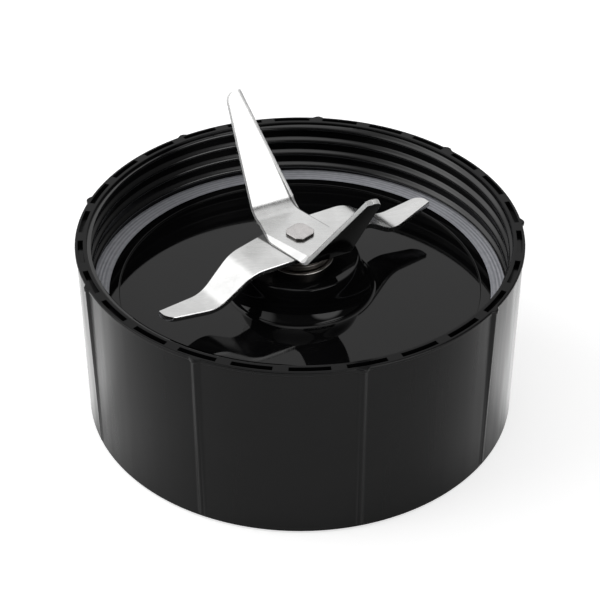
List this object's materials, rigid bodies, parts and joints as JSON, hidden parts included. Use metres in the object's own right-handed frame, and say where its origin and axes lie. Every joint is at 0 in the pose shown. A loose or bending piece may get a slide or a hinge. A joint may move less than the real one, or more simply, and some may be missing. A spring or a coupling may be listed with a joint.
{
  "type": "blender blade assembly",
  "caption": "Screw-on base ring of a personal blender with a jar thread, a sealing gasket and crossed steel blades that spin on a bearing above a toothed drive coupling.",
  "frame": {"origin": "centre of the foot of the skirt, on the surface that it stands on", "axes": "+Z along the spin axis, up towards the jar; -Y is the side that faces the camera in the picture"},
  "size_m": [0.0839, 0.0838, 0.0566],
  "materials": {
    "black_plastic": "moulded, polished floor, satin skirt",
    "grey_silicone": "matte with fine rings",
    "blade_steel": "fine brushed, ground edges",
    "turned_steel": "turned",
    "bronze": "sintered",
    "black_rubber": "matte",
    "white_nylon": "matte",
    "spring_steel": "blued",
    "coupling_plastic": "satin",
    "brass": "machined"
  },
  "bodies": {
    "base": {"base_ring": "black_plastic", "jar_gasket": "grey_silicone", "bearing_housing": "turned_steel", "upper_bush": "bronze", "lower_bush": "bronze", "shaft_seal": "black_rubber", "seal_retainer": "turned_steel"},
    "rotor": {"drive_shaft": "turned_steel", "lower_blade": "blade_steel", "upper_blade": "blade_steel", "blade_collar": "turned_steel", "upper_thrust_washer": "white_nylon", "lower_thrust_washer": "turned_steel", "retaining_clip": "spring_steel", "drive_coupling": "coupling_plastic", "coupling_insert": "brass"}
  },
  "joints": [
    {"name": "blade_spin", "type": "hinge", "parent": "base", "child": "rotor", "pos_m": [0, 0, 0.0217], "axis": [0, 0, 1], "continuous": true}
  ]
}
